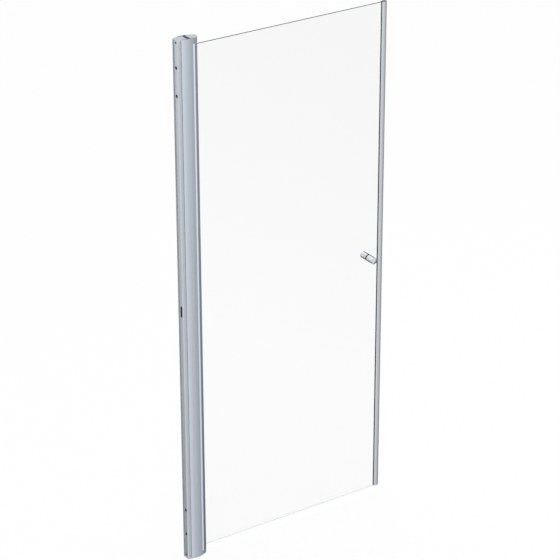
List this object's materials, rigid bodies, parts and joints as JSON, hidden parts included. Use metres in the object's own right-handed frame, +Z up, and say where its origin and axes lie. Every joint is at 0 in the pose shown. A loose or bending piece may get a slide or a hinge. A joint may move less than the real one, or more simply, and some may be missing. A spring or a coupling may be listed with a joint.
{
  "type": "shower door",
  "caption": "Left-hung hinged shower door: clear glass pane in a round pivot profile on a telescopic wall profile, with a closing-edge profile and a through-glass knob.",
  "frame": {"origin": "foot of the wall plane, on the middle plane of the closed glass", "axes": "+X from the wall to the closing edge, +Y into the shower, -Y to the room, +Z up"},
  "size_m": [0.864, 0.0822, 2],
  "materials": {
    "anodised_aluminium": "satin anodised, brushed along its length",
    "light_grey_plastic": "fine satin",
    "grey_die_cast": "satin grey lacquer",
    "stainless_steel": "plain turned",
    "grey_nylon": "matte",
    "dark_grey_rubber": "matte",
    "black_rubber": "matte",
    "grey_seal": "soft satin",
    "magnet_rubber": "matte",
    "clear_glass": "polished, clear, toughened",
    "clear_plastic": "clear, flexible",
    "polished_chrome": "polished"
  },
  "bodies": {
    "wall_frame": {"wall_profile": "anodised_aluminium", "wall_cap_bottom": "light_grey_plastic", "wall_cap_top": "light_grey_plastic"},
    "hinge_frame": {"hinge_profile": "anodised_aluminium", "bearing_block_bottom": "grey_die_cast", "bearing_block_top": "grey_die_cast", "block_cover_bottom": "light_grey_plastic", "block_cover_top": "light_grey_plastic", "block_screws": "stainless_steel", "pivot_bush_bottom": "grey_nylon", "pivot_bush_top": "grey_nylon", "pivot_wipers": "dark_grey_rubber", "clamp_screws": "stainless_steel", "clamp_nuts": "stainless_steel"},
    "door_leaf": {"pivot_profile": "anodised_aluminium", "pivot_plug_bottom": "grey_nylon", "pivot_plug_top": "grey_nylon", "pivot_pin_bottom": "stainless_steel", "pivot_pin_top": "stainless_steel", "glazing_gasket": "dark_grey_rubber", "glass_panel": "clear_glass", "closing_gasket": "dark_grey_rubber", "closing_profile": "anodised_aluminium", "closing_seal": "grey_seal", "magnet_strip": "magnet_rubber", "drip_strip": "clear_plastic", "knob_outer": "polished_chrome", "knob_inner": "polished_chrome", "knob_stud": "stainless_steel", "knob_bush": "grey_nylon", "knob_gasket_outer": "black_rubber", "knob_gasket_inner": "black_rubber", "knob_set_screw": "stainless_steel"}
  },
  "joints": [
    {"name": "profile_adjust", "type": "slide", "parent": "wall_frame", "child": "hinge_frame", "axis": [1, 0, 0], "range_m": [-0.006, 0.009]},
    {"name": "door_swing", "type": "hinge", "parent": "hinge_frame", "child": "door_leaf", "pos_m": [0.067, 0, 1], "axis": [0, 0, -1], "range_deg": [-90, 90]}
  ]
}
